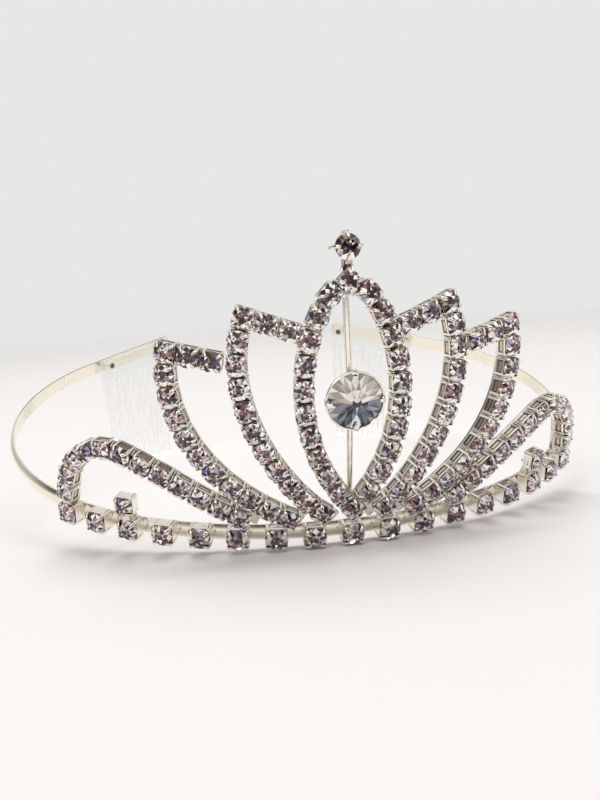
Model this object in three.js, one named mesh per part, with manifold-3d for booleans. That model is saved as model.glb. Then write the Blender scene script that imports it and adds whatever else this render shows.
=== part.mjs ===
// A bridal tiara: rhinestone cup-chain strands on a springy C-shaped band with two side combs.
// Millimetres, +Z up. The tiara stands on its front cups and on the tips of its comb teeth.
//
// The band and the stones are laid out in the band's own level plane first ("hoop" frame:
// origin at the front middle base stone, +X to the wearer's left, +Y to the back, +Z up), and
// the finished hoop is then tipped forward on its combs, the way it stands on a table. Names
// with "right" lie at +X, the right-hand side for someone who faces the front of the tiara.

import * as THREE from "three";
import { mergeVertices } from "three/addons/utils/BufferGeometryUtils.js";
import Module from "manifold-3d";

const wasm = await Module();
wasm.setup();

// Driving dimensions ---------------------------------------------------------------------------

// Plan of the stone sheet, one side: a wide front arc, a tighter side arc, a straight tail.
const FRONT_RADIUS = 86;
const FRONT_ANGLE = THREE.MathUtils.degToRad(25);
const SIDE_RADIUS = 60.4;
const TAIL_ANGLE = THREE.MathUtils.degToRad(139.5);
const TAIL_LENGTH = 28;

// The sheet leans out at its foot and curls back towards its top.
const LEAN_SLOPE = 0.111;
const LEAN_CURL = 0.0039;

const BAND_HEIGHT = 3.5;
const BAND_THICKNESS = 1.0;
const BAND_EDGE = 0.3;
const BAND_STEP = 5;

const CUP_SIZE = 3.9;
const CUP_DEPTH = 2.55;
const CLAW_WIDTH = 0.85;
const CLAW_RISE = 0.8;
const LINK_WIDTH = 1.3;
const LINK_THICKNESS = 0.6;
const WIRE_LINK_WIDTH = 0.8;

const STONE_RADIUS = 1.72;
const TABLE_RADIUS = 1.0;
const CROWN_HEIGHT = 0.8;
const STONE_SIDES = 8;
const WEB_WIDTH = 0.5;
const WEB_THICKNESS = 0.35;

const RIBBON_WIDTH = 2.4;
const RIBBON_THICKNESS = 0.9;
const RIBBON_STEPS = 11;
const MITRE_LIMIT = 0.5;

// The clearance left where two pieces touch or are soldered.
const GAP = 0.08;

const BASE_STONES = 17;
const BASE_PITCH = 7.53;

// Strand centre lines on the sheet, one side: [distance round the band, height over base row].
const MANDORLA_TOP = [0, 49.7];
const MANDORLA_FOOT = [0, 5.7];
const MANDORLA_SIDE = [MANDORLA_TOP, [6.9, 49.7], [17, 25.4], MANDORLA_FOOT];
const MANDORLA_SIDE_GAPS = 11;

const INNER_TOP = [[11.7, 41.5], [20.3, 44.2]];
const INNER_SIDE = [[20.3, 44.2], [26, 27], [11.2, 9.2], [6.1, 5.3]];
const OUTER_TOP = [[26.2, 36.3], [35.1, 37.7]];
const OUTER_SIDE = [[35.1, 37.7], [36.6, 17.5], [17.6, 7], [12.6, 4.5]];
const PETAL_TOP_GAPS = 2;
const PETAL_SIDE_GAPS = 10;

const LOOP = [[59.8, 5.4], [57.3, 11.9], [52, 16.5], [45.6, 16.9], [36.8, 13.2], [29, 8.8], [22, 4.9]];
const LOOP_GAPS = 11;

const ACCENT_PLACE = [45.2, 5.6];
const ACCENT_NECK_WIDTH = 1.6;
const FINIAL_HEIGHT = 55.6;
const FINIAL_NECK_WIDTH = 1.9;
const FINIAL_NECK_FOOT = 51.5;

const STEM_RADIUS = 0.62;
const STEM_TOP = 50.2;
const STEM_FOOT = 3.6;
const STEM_SIDES = 6;
const STEM_STEPS = 5;

const RIVOLI_HEIGHT = 28.3;
const RIVOLI_RADIUS = 5.2;
const RIVOLI_CROWN = 1.7;
const RIVOLI_BACK = 2.6;
const RIVOLI_GIRDLE = 0.3;
const BEZEL_WALL = 0.3;
const BEZEL_SIDES = 18;
const BEZEL_FLAT = 1.3;
const BEZEL_CLAW = 0.9;
const BEZEL_CLAWS = 4;

const COMB_WIDTH = 26;
const COMB_START = 1.3;
const COMB_THICKNESS = 2.2;
const SPINE_DROP = 4.8;
const TEETH = 13;
const TOOTH_WIDTH = 1.25;
const TOOTH_THICKNESS = 1.7;
const TOOTH_ROOT = 1;
const TIP_WIDTH = 0.8;
const TIP_THICKNESS = 0.9;
const TOOTH_TIP_SPREAD = 0.86;
const COMB_REACH = 37;

const RIVET_SHAFT = 0.6;
const RIVET_HEAD = 1.05;
const RIVET_HEAD_RISE = 0.45;
const RIVET_INSET = 2.6;
const RIVET_SIDES = 8;
const RIVET_HOLE_LENGTH = 20;

// Distance under which two vertices are one, and the grid that row vertices are rounded to.
const WELD = 1e-5;
const GRID = 1e-4;

// Materials ------------------------------------------------------------------------------------

function finish(color, roughness, metalness) {
  return new THREE.MeshStandardMaterial({ color, roughness, metalness });
}

const silverPlate = () => finish(0xd9d6cc, 0.18, 1);
const crystal = () => finish(0x8f8792, 0.05, 0.4);
const clearCrystal = () => finish(0xc4c8cc, 0.04, 0.4);
const clearPlastic = () => finish(0xe6ece9, 0.2, 0);
const darkSteel = () => finish(0x4a4642, 0.4, 1);

// Solids ---------------------------------------------------------------------------------------

function toSolid(geometry) {
  const bare = geometry.clone();
  bare.deleteAttribute("normal");
  bare.deleteAttribute("uv");
  const merged = mergeVertices(bare, WELD);
  const vertProperties = new Float32Array(merged.attributes.position.array);
  const triVerts = new Uint32Array(merged.index.array);
  return new wasm.Manifold(new wasm.Mesh({ numProp: 3, vertProperties, triVerts }));
}

function toGeometry(solid) {
  const mesh = solid.getMesh();
  const geometry = new THREE.BufferGeometry();
  geometry.setAttribute("position", new THREE.BufferAttribute(mesh.vertProperties, 3));
  geometry.setIndex(new THREE.BufferAttribute(mesh.triVerts, 1));
  geometry.computeVertexNormals();
  return geometry;
}

function union(geometries) {
  let solid = toSolid(geometries[0]);
  for (const geometry of geometries.slice(1)) {
    solid = solid.add(toSolid(geometry));
  }
  return toGeometry(solid);
}

function subtract(geometry, cutters) {
  let solid = toSolid(geometry);
  for (const cutter of cutters) {
    solid = solid.subtract(toSolid(cutter));
  }
  return toGeometry(solid);
}

// Joins rings of points, all of one length, into a skin. An open run gets a cap at each end.
function loft(rings, closed = false) {
  const size = rings[0].length;
  const positions = rings.flat().flatMap((point) => point.toArray());
  const index = [];
  const runs = closed ? rings.length : rings.length - 1;
  for (let ring = 0; ring < runs; ring += 1) {
    const here = ring * size;
    const next = ((ring + 1) % rings.length) * size;
    for (let side = 0; side < size; side += 1) {
      const after = (side + 1) % size;
      index.push(here + side, next + after, next + side);
      index.push(here + side, here + after, next + after);
    }
  }
  if (!closed) {
    const last = (rings.length - 1) * size;
    for (let side = 1; side < size - 1; side += 1) {
      index.push(0, side + 1, side);
      index.push(last, last + side, last + side + 1);
    }
  }
  const geometry = new THREE.BufferGeometry();
  geometry.setAttribute("position", new THREE.Float32BufferAttribute(positions, 3));
  geometry.setIndex(index);
  return toSolid(geometry).volume() < 0 ? turnedOut(geometry) : geometry;
}

function turnedOut(geometry) {
  const index = geometry.index.array;
  for (let corner = 0; corner < index.length; corner += 3) {
    const swap = index[corner + 1];
    index[corner + 1] = index[corner + 2];
    index[corner + 2] = swap;
  }
  return geometry;
}

// The stone sheet ------------------------------------------------------------------------------

// The point of the plan curve at a distance round the band, and the heading of the curve there.
function planPoint(distance) {
  const frontLength = FRONT_RADIUS * FRONT_ANGLE;
  const sideLength = SIDE_RADIUS * (TAIL_ANGLE - FRONT_ANGLE);
  const side = Math.sign(distance) || 1;
  const along = Math.abs(distance);
  const onFront = Math.min(along, frontLength) / FRONT_RADIUS;
  const onSide = THREE.MathUtils.clamp((along - frontLength) / SIDE_RADIUS, 0, TAIL_ANGLE - FRONT_ANGLE);
  const onTail = Math.max(0, along - frontLength - sideLength);
  const heading = onFront + onSide;
  let x = FRONT_RADIUS * Math.sin(onFront);
  let y = FRONT_RADIUS * (1 - Math.cos(onFront));
  x += SIDE_RADIUS * (Math.sin(heading) - Math.sin(onFront));
  y += SIDE_RADIUS * (Math.cos(onFront) - Math.cos(heading));
  x += onTail * Math.cos(heading);
  y += onTail * Math.sin(heading);
  return { x: side * x, y, heading: side * heading };
}

function lean(height) {
  return LEAN_SLOPE * height - LEAN_CURL * height * height;
}

// A frame on the sheet: x runs round the band, y runs up the sheet, z points out of it.
function sheetFrame([distance, height], upright = false) {
  const plan = planPoint(distance);
  const out = new THREE.Vector3(Math.sin(plan.heading), -Math.cos(plan.heading), 0);
  const round = new THREE.Vector3(Math.cos(plan.heading), Math.sin(plan.heading), 0);
  const slope = upright ? 0 : LEAN_SLOPE - 2 * LEAN_CURL * height;
  const up = new THREE.Vector3(0, 0, 1).addScaledVector(out, slope).normalize();
  const normal = new THREE.Vector3().crossVectors(round, up);
  const frame = new THREE.Matrix4().makeBasis(round, up, normal);
  const shift = upright ? 0 : lean(height);
  frame.setPosition(plan.x + out.x * shift, plan.y + out.y * shift, height);
  return frame;
}

// The point of the sheet at a place, moved out by a depth along the sheet's normal.
function sheetPoint(place, depth) {
  return new THREE.Vector3(0, 0, depth).applyMatrix4(sheetFrame(place));
}

// Strand layout --------------------------------------------------------------------------------

// Two points make a line, four a Bezier curve, and more a smooth curve through them all.
function plainCurve(points) {
  const corners = points.map(([x, y]) => new THREE.Vector2(x, y));
  if (corners.length === 2) {
    return new THREE.LineCurve(...corners);
  }
  return corners.length === 4
    ? new THREE.CubicBezierCurve(...corners)
    : new THREE.SplineCurve(corners);
}

// Evenly spaced seats along one run: each has a place on the sheet and the chain's angle there.
function seatsAlong(points, gaps) {
  const curve = plainCurve(points);
  const seats = [];
  for (let step = 0; step <= gaps; step += 1) {
    const at = curve.getPointAt(step / gaps);
    const tangent = curve.getTangentAt(step / gaps);
    seats.push({ place: [at.x, at.y], angle: Math.atan2(tangent.y, tangent.x) });
  }
  return seats;
}

function mirrored(seats) {
  return seats.map(({ place, angle }) => ({ place: [-place[0], place[1]], angle: -angle }));
}

function petalSeats(top, side) {
  const corner = seatsAlong(top, PETAL_TOP_GAPS);
  return [...corner, ...seatsAlong(side, PETAL_SIDE_GAPS).slice(1)];
}

function mandorlaSeats() {
  const right = seatsAlong(MANDORLA_SIDE, MANDORLA_SIDE_GAPS);
  const diagonal = Math.PI / 4;
  right[0].angle = diagonal;
  right[right.length - 1].angle = diagonal;
  return [...right, ...mirrored(right.slice(1, -1)).reverse()];
}

function baseSeats() {
  const seats = [];
  for (let stone = 0; stone < BASE_STONES; stone += 1) {
    const distance = (stone - (BASE_STONES - 1) / 2) * BASE_PITCH;
    seats.push({ place: [distance, 0], angle: 0, upright: true });
  }
  return seats;
}

function seatFrame({ place, angle, upright }) {
  return sheetFrame(place, upright).multiply(new THREE.Matrix4().makeRotationZ(angle));
}

// Cups, stones and ribbons ---------------------------------------------------------------------

// A row is one body: the same small facet shape at every seat, with a thin bar from each seat
// to the next. The bar grows out of a square port in the side that faces the neighbour.

const SQUARE = [[1, 1], [-1, 1], [-1, -1], [1, -1]];

// A square cup with a claw at each corner. The stone sits on its top face, just under z = 0.
function cupShape(barWidth) {
  const half = CUP_SIZE / 2;
  const top = -GAP;
  const floor = top - CUP_DEPTH;
  const barLevel = floor + LINK_THICKNESS;
  const wall = [
    [-half, floor],
    [half, floor],
    [half, CLAW_RISE],
    [half - CLAW_WIDTH, top],
    [CLAW_WIDTH - half, top],
    [-half, CLAW_RISE],
  ].map(([across, level]) => new THREE.Vector3(half, across, level));
  const clawBack = [
    new THREE.Vector3(half, half - CLAW_WIDTH, top),
    new THREE.Vector3(half, half, CLAW_RISE),
    new THREE.Vector3(half - CLAW_WIDTH, half, top),
  ];
  const seatEdge = [clawBack[0], clawBack[2]];
  const port = SQUARE.map(([across, level]) => {
    return new THREE.Vector3(half, (across * barWidth) / 2, barLevel + (level * LINK_THICKNESS) / 2);
  });
  const ends = [
    aroundAxis(seatEdge, 4),
    aroundAxis([new THREE.Vector3(half, half, floor)], 4).reverse(),
  ];
  return { sides: 4, wall, port, corner: clawBack, ends };
}

// A flat-backed stone: an eight-sided girdle that narrows to its table.
function stoneShape() {
  const step = Math.PI / STONE_SIDES;
  const girdle = [STONE_RADIUS * Math.cos(step), STONE_RADIUS * Math.sin(step)];
  const table = [TABLE_RADIUS * Math.cos(step), TABLE_RADIUS * Math.sin(step)];
  const wall = [
    new THREE.Vector3(girdle[0], -girdle[1], 0),
    new THREE.Vector3(girdle[0], girdle[1], 0),
    new THREE.Vector3(table[0], table[1], CROWN_HEIGHT),
    new THREE.Vector3(table[0], -table[1], CROWN_HEIGHT),
  ];
  const port = SQUARE.map(([across, level]) => {
    const height = WEB_THICKNESS + (level * WEB_THICKNESS) / 2;
    const inset = ((girdle[0] - table[0]) * height) / CROWN_HEIGHT;
    return new THREE.Vector3(girdle[0] - inset, (across * WEB_WIDTH) / 2, height);
  });
  const ends = [
    aroundAxis([wall[2]], STONE_SIDES),
    aroundAxis([wall[1]], STONE_SIDES).reverse(),
  ];
  return { sides: STONE_SIDES, wall, port, corner: null, ends };
}

// The points repeated round the z axis, as one loop.
function aroundAxis(points, count) {
  const loop = [];
  for (let turn = 0; turn < count; turn += 1) {
    loop.push(...turnedBy(points, turn, count));
  }
  return loop;
}

function turnedBy(points, turn, count) {
  const spin = new THREE.Matrix4().makeRotationZ((turn * 2 * Math.PI) / count);
  return points.map((point) => point.clone().applyMatrix4(spin));
}

// The triangles of one flat face, with the port left open if there is one.
function faceTriangles(loop, port) {
  const edge = loop[1].clone().sub(loop[0]).normalize();
  const normal = loop[2].clone().sub(loop[0]).cross(edge).negate().normalize();
  const up = new THREE.Vector3().crossVectors(normal, edge);
  const flat = (points) => points.map((point) => new THREE.Vector2(point.dot(edge), point.dot(up)));
  const holes = port ? [flat([...port].reverse())] : [];
  const corners = port ? [...loop, ...[...port].reverse()] : loop;
  const level = flat(corners);
  const facing = ([a, b, c]) => {
    const area = level[b].clone().sub(level[a]).cross(level[c].clone().sub(level[a]));
    return area > 0 ? [a, b, c] : [a, c, b];
  };
  const triples = THREE.ShapeUtils.triangulateShape(flat(loop), holes).map(facing);
  return triples.flatMap((triple) => triple.map((corner) => corners[corner]));
}

// The side of a shape that faces a point given in the shape's own frame.
function sideFacing(shape, point) {
  const turn = (Math.atan2(point.y, point.x) / (2 * Math.PI)) * shape.sides;
  return (Math.round(turn) + shape.sides) % shape.sides;
}

// The port of a shape in the side that faces the neighbouring seat, in its place in the row.
function portTowards(shape, frame, neighbour) {
  const target = new THREE.Vector3().setFromMatrixPosition(neighbour);
  const side = sideFacing(shape, target.applyMatrix4(frame.clone().invert()));
  const corners = turnedBy(shape.port, side, shape.sides).map((point) => point.applyMatrix4(frame));
  return { side, corners };
}

function barTriangles(near, far) {
  const opposite = [far[1], far[0], far[3], far[2]];
  const triangles = [];
  for (let corner = 0; corner < 4; corner += 1) {
    const after = (corner + 1) % 4;
    triangles.push(near[corner], near[after], opposite[after]);
    triangles.push(near[corner], opposite[after], opposite[corner]);
  }
  return triangles;
}

// One shape in its place, with its ports open on the sides named.
function seatTriangles(shape, frame, openSides) {
  const faces = shape.ends.map((loop) => faceTriangles(loop, null));
  for (let side = 0; side < shape.sides; side += 1) {
    const open = openSides.includes(side) ? turnedBy(shape.port, side, shape.sides) : null;
    faces.push(faceTriangles(turnedBy(shape.wall, side, shape.sides), open));
    if (shape.corner) {
      faces.push(turnedBy(shape.corner, side, shape.sides));
    }
  }
  return faces.flat().map((point) => point.clone().applyMatrix4(frame));
}

function rowOf(shape, seats, closed = false) {
  const frames = seats.map(seatFrame);
  const openSides = seats.map(() => []);
  const triangles = [];
  const bars = closed ? seats.length : seats.length - 1;
  for (let seat = 0; seat < bars; seat += 1) {
    const next = (seat + 1) % seats.length;
    const near = portTowards(shape, frames[seat], frames[next]);
    const far = portTowards(shape, frames[next], frames[seat]);
    openSides[seat].push(near.side);
    openSides[next].push(far.side);
    triangles.push(...barTriangles(near.corners, far.corners));
  }
  frames.forEach((frame, seat) => {
    triangles.push(...seatTriangles(shape, frame, openSides[seat]));
  });
  const rounded = triangles.map((point) => {
    return point.clone().divideScalar(GRID).round().multiplyScalar(GRID);
  });
  return toGeometry(toSolid(new THREE.BufferGeometry().setFromPoints(rounded)));
}

const cup = cupShape(LINK_WIDTH);
const wireCup = cupShape(WIRE_LINK_WIDTH);
const stone = stoneShape();

function part(name, geometry, material) {
  const mesh = new THREE.Mesh(geometry, material);
  mesh.name = name;
  return mesh;
}

// Ribbon under the cups: front and back depths below the stones' plane.
const RIBBON_FRONT = -2 * GAP - CUP_DEPTH;
const RIBBON_BACK = RIBBON_FRONT - RIBBON_THICKNESS;

// The ribbon's centre line, as places on the sheet, with the corner of a petal kept sharp.
function ribbonLine(runs) {
  const line = [];
  for (const points of runs) {
    const curve = plainCurve(points);
    const steps = points.length === 2 ? 1 : RIBBON_STEPS;
    for (let step = line.length ? 1 : 0; step <= steps; step += 1) {
      line.push(curve.getPointAt(step / steps));
    }
  }
  return line;
}

// Runs the line's last stretch on until its lower edge meets the top of the band.
function footedOnBand(line, atEnd) {
  const ordered = atEnd ? line : [...line].reverse();
  const end = ordered[ordered.length - 1];
  const tangent = end.clone().sub(ordered[ordered.length - 2]).normalize();
  const edgeDrop = (RIBBON_WIDTH / 2) * Math.abs(tangent.x);
  const drop = end.y - BAND_HEIGHT / 2 - 2 * GAP - edgeDrop;
  ordered.push(end.clone().addScaledVector(tangent, drop / -tangent.y));
  return atEnd ? ordered : ordered.reverse();
}

// A flat strip that follows a line on the sheet, mitred where the line turns.
function ribbonAlong(line, mirror, closed = false) {
  const rings = line.map((point, spot) => {
    const before = line[closed ? (spot + line.length - 1) % line.length : Math.max(0, spot - 1)];
    const after = line[closed ? (spot + 1) % line.length : Math.min(line.length - 1, spot + 1)];
    const into = point.clone().sub(before).normalize();
    const away = after.clone().sub(point).normalize();
    const heading = into.clone().add(away).normalize();
    const stretch = 1 / Math.max(heading.dot(spot || closed ? into : away), MITRE_LIMIT);
    const across = new THREE.Vector2(-heading.y, heading.x);
    across.multiplyScalar((RIBBON_WIDTH / 2) * stretch);
    const edge = (sign) => [mirror * (point.x + sign * across.x), point.y + sign * across.y];
    return [
      sheetPoint(edge(1), RIBBON_FRONT),
      sheetPoint(edge(-1), RIBBON_FRONT),
      sheetPoint(edge(-1), RIBBON_BACK),
      sheetPoint(edge(1), RIBBON_BACK),
    ];
  });
  return loft(rings, closed);
}

function strandParts(name, seats, ribbon, closed = false) {
  return [
    part(`${name}_cup_chain`, rowOf(cup, seats, closed), silverPlate()),
    part(`${name}_stones`, rowOf(stone, seats, closed), crystal()),
    part(`${name}_ribbon`, ribbon, silverPlate()),
  ];
}

function mandorla() {
  const right = ribbonLine([MANDORLA_SIDE]);
  const left = right.slice(1, -1).reverse().map((point) => new THREE.Vector2(-point.x, point.y));
  return strandParts("mandorla", mandorlaSeats(), ribbonAlong([...right, ...left], 1, true), true);
}

function petal(name, top, side) {
  const seats = petalSeats(top, side);
  const line = footedOnBand(ribbonLine([top, side]), true);
  line[0].x -= CUP_SIZE / 2;
  return [
    ...strandParts(`${name}_petal_right`, seats, ribbonAlong(line, 1)),
    ...strandParts(`${name}_petal_left`, mirrored(seats), ribbonAlong(line, -1)),
  ];
}

function sideLoops() {
  const seats = seatsAlong(LOOP, LOOP_GAPS);
  const line = footedOnBand(footedOnBand(ribbonLine([LOOP]), true), false);
  return [
    ...strandParts("side_loop_right", seats, ribbonAlong(line, 1)),
    ...strandParts("side_loop_left", mirrored(seats), ribbonAlong(line, -1)),
  ];
}

function baseRow() {
  const seats = baseSeats();
  return [
    part("base_cup_chain", rowOf(wireCup, seats), silverPlate()),
    part("base_stones", rowOf(stone, seats), crystal()),
  ];
}

// A lone cup and stone on a short flat neck.
function neckedStone(name, seat, neckFoot, neckWidth) {
  const [distance, height] = seat.place;
  const neck = new THREE.BoxGeometry(neckWidth, height - neckFoot, RIBBON_THICKNESS);
  const depth = (RIBBON_FRONT + RIBBON_BACK) / 2;
  neck.translate(0, (neckFoot - height) / 2, depth);
  return [
    part(`${name}_cup`, rowOf(cup, [seat]), silverPlate()),
    part(`${name}_stone`, rowOf(stone, [seat]), crystal()),
    part(`${name}_neck`, neck.applyMatrix4(sheetFrame([distance, height])), silverPlate()),
  ];
}

function finial() {
  const seat = { place: [0, FINIAL_HEIGHT], angle: Math.PI / 4 };
  return neckedStone("finial", seat, FINIAL_NECK_FOOT, FINIAL_NECK_WIDTH);
}

function accents() {
  const foot = BAND_HEIGHT / 2 + 2 * GAP;
  const right = { place: ACCENT_PLACE, angle: 0 };
  const [left] = mirrored([right]);
  return [
    ...neckedStone("accent_right", right, foot, ACCENT_NECK_WIDTH),
    ...neckedStone("accent_left", left, foot, ACCENT_NECK_WIDTH),
  ];
}

// Stem and centre stone ------------------------------------------------------------------------

function stem() {
  const depth = RIBBON_BACK - GAP - STEM_RADIUS;
  const points = [];
  for (let step = 0; step <= STEM_STEPS; step += 1) {
    const height = STEM_FOOT + ((STEM_TOP - STEM_FOOT) * step) / STEM_STEPS;
    points.push(sheetPoint([0, height], depth));
  }
  const outline = new THREE.Shape().absarc(0, 0, STEM_RADIUS, 0, 2 * Math.PI);
  const wire = new THREE.ExtrudeGeometry(outline, {
    extrudePath: new THREE.CatmullRomCurve3(points),
    steps: STEM_STEPS,
    curveSegments: STEM_SIDES,
  });
  return part("stem_wire", toGeometry(toSolid(wire)), silverPlate());
}

function onSheet(geometry) {
  return geometry.applyMatrix4(sheetFrame([0, RIVOLI_HEIGHT]));
}

function turned(profile, sides) {
  const points = profile.map(([radius, level]) => new THREE.Vector2(radius, level));
  return new THREE.LatheGeometry(points, sides).rotateX(Math.PI / 2);
}

function rivoli() {
  const profile = [
    [0, -RIVOLI_BACK],
    [RIVOLI_RADIUS, -RIVOLI_GIRDLE / 2],
    [RIVOLI_RADIUS, RIVOLI_GIRDLE / 2],
    [0, RIVOLI_CROWN],
  ];
  return part("rivoli_stone", onSheet(toGeometry(toSolid(turned(profile, BEZEL_SIDES)))), clearCrystal());
}

// A shallow conical cup with four claws, one at each quarter.
function bezel() {
  const inner = RIVOLI_RADIUS + GAP;
  const outer = inner + BEZEL_WALL;
  const seat = RIVOLI_BACK + 2 * GAP;
  const floor = RIBBON_BACK + GAP;
  const profile = [
    [0, floor],
    [BEZEL_FLAT, floor],
    [outer, -RIVOLI_GIRDLE],
    [outer, RIVOLI_GIRDLE],
    [inner, RIVOLI_GIRDLE],
    [inner, -RIVOLI_GIRDLE],
    [0, -seat],
  ];
  const pieces = [turned(profile, BEZEL_SIDES)];
  for (let turn = 0; turn < BEZEL_CLAWS; turn += 1) {
    const claw = new THREE.BoxGeometry(BEZEL_CLAW, BEZEL_WALL, BEZEL_CLAW);
    claw.translate(0, outer - BEZEL_WALL / 2 - GAP / 2, BEZEL_CLAW / 2);
    claw.rotateZ((turn * 2 * Math.PI) / BEZEL_CLAWS);
    pieces.push(claw);
  }
  return part("rivoli_bezel", onSheet(union(pieces)), silverPlate());
}

// Band, combs and rivets -----------------------------------------------------------------------

const BAND_FRONT = RIBBON_FRONT;
const BAND_BACK = BAND_FRONT - BAND_THICKNESS;
const TAIL_START = FRONT_RADIUS * FRONT_ANGLE + SIDE_RADIUS * (TAIL_ANGLE - FRONT_ANGLE);
const BAND_END = TAIL_START + TAIL_LENGTH;

// A flat strip with its outer edges rolled off, cut across at a distance round the band.
function bandProfile(distance) {
  const half = BAND_HEIGHT / 2;
  const corners = [
    [BAND_BACK, -half],
    [BAND_BACK, half],
    [BAND_FRONT - BAND_EDGE, half],
    [BAND_FRONT, half - BAND_EDGE],
    [BAND_FRONT, BAND_EDGE - half],
    [BAND_FRONT - BAND_EDGE, -half],
  ];
  return corners.map(([depth, level]) => {
    return new THREE.Vector3(0, level, depth).applyMatrix4(sheetFrame([distance, 0], true));
  });
}

function tailFrame(side, along) {
  return sheetFrame([side * (TAIL_START + along), 0], true);
}

function rivetPlaces() {
  return [COMB_START + RIVET_INSET, COMB_START + COMB_WIDTH - RIVET_INSET];
}

function rivetHoles(side) {
  return rivetPlaces().map((along) => {
    const radius = RIVET_SHAFT + GAP;
    const hole = new THREE.CylinderGeometry(radius, radius, RIVET_HOLE_LENGTH, RIVET_SIDES);
    return hole.rotateX(Math.PI / 2).applyMatrix4(tailFrame(side, along));
  });
}

function band() {
  const facets = Math.round(TAIL_START / BAND_STEP);
  const facet = TAIL_START / (facets + 0.5);
  const stops = [];
  for (let edge = 0; edge <= facets; edge += 1) {
    stops.push((edge + 0.5) * facet);
  }
  stops.push(BAND_END);
  const mirroredStops = stops.map((stop) => -stop).reverse();
  const strip = loft([...mirroredStops, ...stops].map(bandProfile));
  return part("band", subtract(strip, [...rivetHoles(-1), ...rivetHoles(1)]), silverPlate());
}

// The hoop is tipped forward until the comb tips and the front cups stand on one level.
const COMB_FAR_END = planPoint(TAIL_START + COMB_START + COMB_WIDTH);
const FOOT_DROP = COMB_REACH - CUP_SIZE / 2;
const TIP_ANGLE = Math.atan2(FOOT_DROP, COMB_FAR_END.y + CLAW_RISE);

// How far below the band's middle a tooth ends, so that its tip just meets the table.
function toothReach(frame, depth) {
  const root = new THREE.Vector3(0, 0, depth).applyMatrix4(frame);
  return (root.y + CLAW_RISE) * Math.tan(TIP_ANGLE) + CUP_SIZE / 2;
}

// A tapered tooth from the spine down to the table, its tip cut level.
function tooth(side, index) {
  const pitch = (COMB_WIDTH - TOOTH_WIDTH) / (TEETH - 1);
  const fromMiddle = index - (TEETH - 1) / 2;
  const middle = COMB_START + COMB_WIDTH / 2;
  const centre = BAND_BACK - GAP - COMB_THICKNESS / 2;
  const rootFrame = tailFrame(side, middle + fromMiddle * pitch);
  const tipFrame = tailFrame(side, middle + fromMiddle * pitch * TOOTH_TIP_SPREAD);
  const reach = toothReach(tipFrame, centre);
  const levels = [
    { frame: rootFrame, level: TOOTH_ROOT - SPINE_DROP, width: TOOTH_WIDTH, thick: TOOTH_THICKNESS },
    { frame: tipFrame, level: -reach, width: TIP_WIDTH, thick: TIP_THICKNESS },
  ];
  const rings = levels.map(({ frame, level, width, thick }) => {
    return SQUARE.map(([round, out]) => {
      const across = (round * width) / 2;
      return new THREE.Vector3(across, level, centre + (out * thick) / 2).applyMatrix4(frame);
    });
  });
  const [, tip] = rings;
  const middleOfTip = tip[0].clone().lerp(tip[2], 0.5);
  tip.forEach((corner) => {
    corner.z = middleOfTip.z - (corner.y - middleOfTip.y) * Math.tan(TIP_ANGLE);
  });
  return loft(rings);
}

function comb(name, side) {
  const spine = new THREE.BoxGeometry(COMB_WIDTH, BAND_HEIGHT / 2 + SPINE_DROP, COMB_THICKNESS);
  const middleLevel = (BAND_HEIGHT / 2 - SPINE_DROP) / 2;
  spine.translate(0, middleLevel, BAND_BACK - GAP - COMB_THICKNESS / 2);
  spine.applyMatrix4(tailFrame(side, COMB_START + COMB_WIDTH / 2));
  const pieces = [spine];
  for (let index = 0; index < TEETH; index += 1) {
    pieces.push(tooth(side, index));
  }
  return part(name, subtract(union(pieces), rivetHoles(side)), clearPlastic());
}

function rivet(name, side, along) {
  const outside = BAND_FRONT + GAP;
  const inside = BAND_BACK - 2 * GAP - COMB_THICKNESS;
  const profile = [
    [0, inside - RIVET_HEAD_RISE],
    [RIVET_HEAD, inside - RIVET_HEAD_RISE / 2],
    [RIVET_HEAD, inside],
    [RIVET_SHAFT, inside],
    [RIVET_SHAFT, outside],
    [RIVET_HEAD, outside],
    [RIVET_HEAD, outside + RIVET_HEAD_RISE / 2],
    [0, outside + RIVET_HEAD_RISE],
  ];
  const solid = toGeometry(toSolid(turned(profile, RIVET_SIDES)));
  return part(name, solid.applyMatrix4(tailFrame(side, along)), darkSteel());
}

function combs() {
  const [near, far] = rivetPlaces();
  return [
    comb("comb_right", 1),
    comb("comb_left", -1),
    rivet("comb_rivet_right_near", 1, near),
    rivet("comb_rivet_right_far", 1, far),
    rivet("comb_rivet_left_near", -1, near),
    rivet("comb_rivet_left_far", -1, far),
  ];
}

// Assembly -------------------------------------------------------------------------------------

function tiara() {
  const hoop = new THREE.Group();
  hoop.add(band(), stem(), rivoli(), bezel());
  hoop.add(...baseRow(), ...mandorla(), ...finial(), ...accents(), ...sideLoops(), ...combs());
  hoop.add(...petal("inner", INNER_TOP, INNER_SIDE), ...petal("outer", OUTER_TOP, OUTER_SIDE));
  hoop.rotation.x = TIP_ANGLE;
  const standing = new THREE.Group();
  standing.add(hoop);
  standing.updateMatrixWorld(true);
  const box = new THREE.Box3().setFromObject(standing, true);
  standing.position.set(0, -(box.min.y + box.max.y) / 2, -box.min.z);
  return standing;
}

export default tiara();
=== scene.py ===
"""A bridal tiara: claw-set crystals on ribboned cup chain, a springy band and two clear side combs.

Lengths are millimetres in the hoop's own level frame until a piece is made, as in the CAD source:
origin at the front middle base stone, +X to the wearer's left, +Y to the back, +Z up. The STANDING
matrix tips the hoop forward on its combs and turns millimetres into the metres of the row frame.
"""

import math
import random
from collections import Counter
from collections.abc import Callable
from dataclasses import dataclass
from itertools import product

import bmesh
import bpy
from mathutils import Matrix, Vector

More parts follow.
